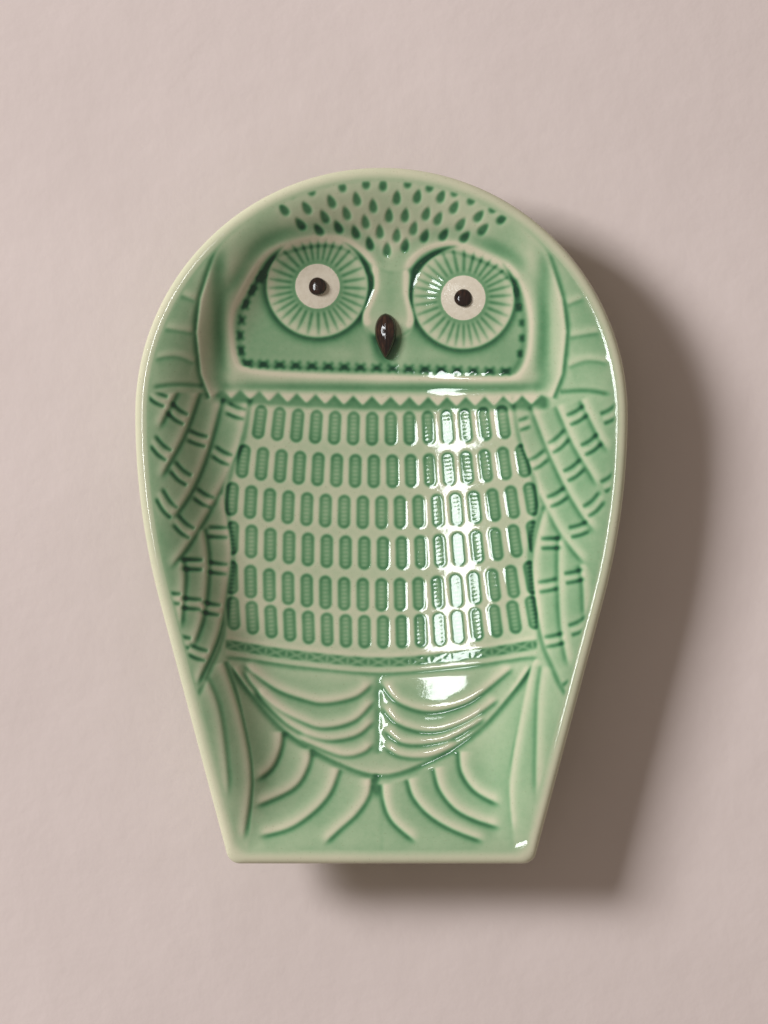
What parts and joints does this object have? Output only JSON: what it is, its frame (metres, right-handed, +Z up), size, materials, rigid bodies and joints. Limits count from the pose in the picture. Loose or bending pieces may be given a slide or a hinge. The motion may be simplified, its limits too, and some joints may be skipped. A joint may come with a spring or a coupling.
{
  "type": "owl-shaped serving dish",
  "caption": "Shallow stoneware dish in the outline of an owl, its inside covered with carved relief under a pooled green glaze, on a foot ring.",
  "frame": {"origin": "middle of the outline's box, on the plane that the foot ring stands on", "axes": "+Z up out of the open face, +Y towards the owl's head, +X to the right of a viewer who looks down with the head away from them"},
  "size_m": [0.177, 0.25, 0.03],
  "materials": {
    "celadon_glaze": "glossy, pale on the ridges and deep green where it pools",
    "white_slip": "glossy cream white",
    "brown_glaze": "glossy dark brown with red-brown streaks",
    "bare_clay": "matt unglazed stoneware"
  },
  "bodies": {
    "root": {"dish_body": "celadon_glaze", "foot_ring": "bare_clay", "head_hood": "celadon_glaze", "face_panel": "celadon_glaze", "nose_bridge": "celadon_glaze", "left_eye_rosette": "celadon_glaze", "right_eye_rosette": "celadon_glaze", "left_eye_white": "white_slip", "right_eye_white": "white_slip", "left_pupil": "brown_glaze", "right_pupil": "brown_glaze", "beak": "brown_glaze", "left_wing": "celadon_glaze", "right_wing": "celadon_glaze", "breast_panel": "celadon_glaze", "breast_hem": "celadon_glaze", "belly_feathers": "celadon_glaze", "left_flank_feathers": "celadon_glaze", "right_flank_feathers": "celadon_glaze", "left_tail_fan": "celadon_glaze", "right_tail_fan": "celadon_glaze"}
  },
  "joints": []
}
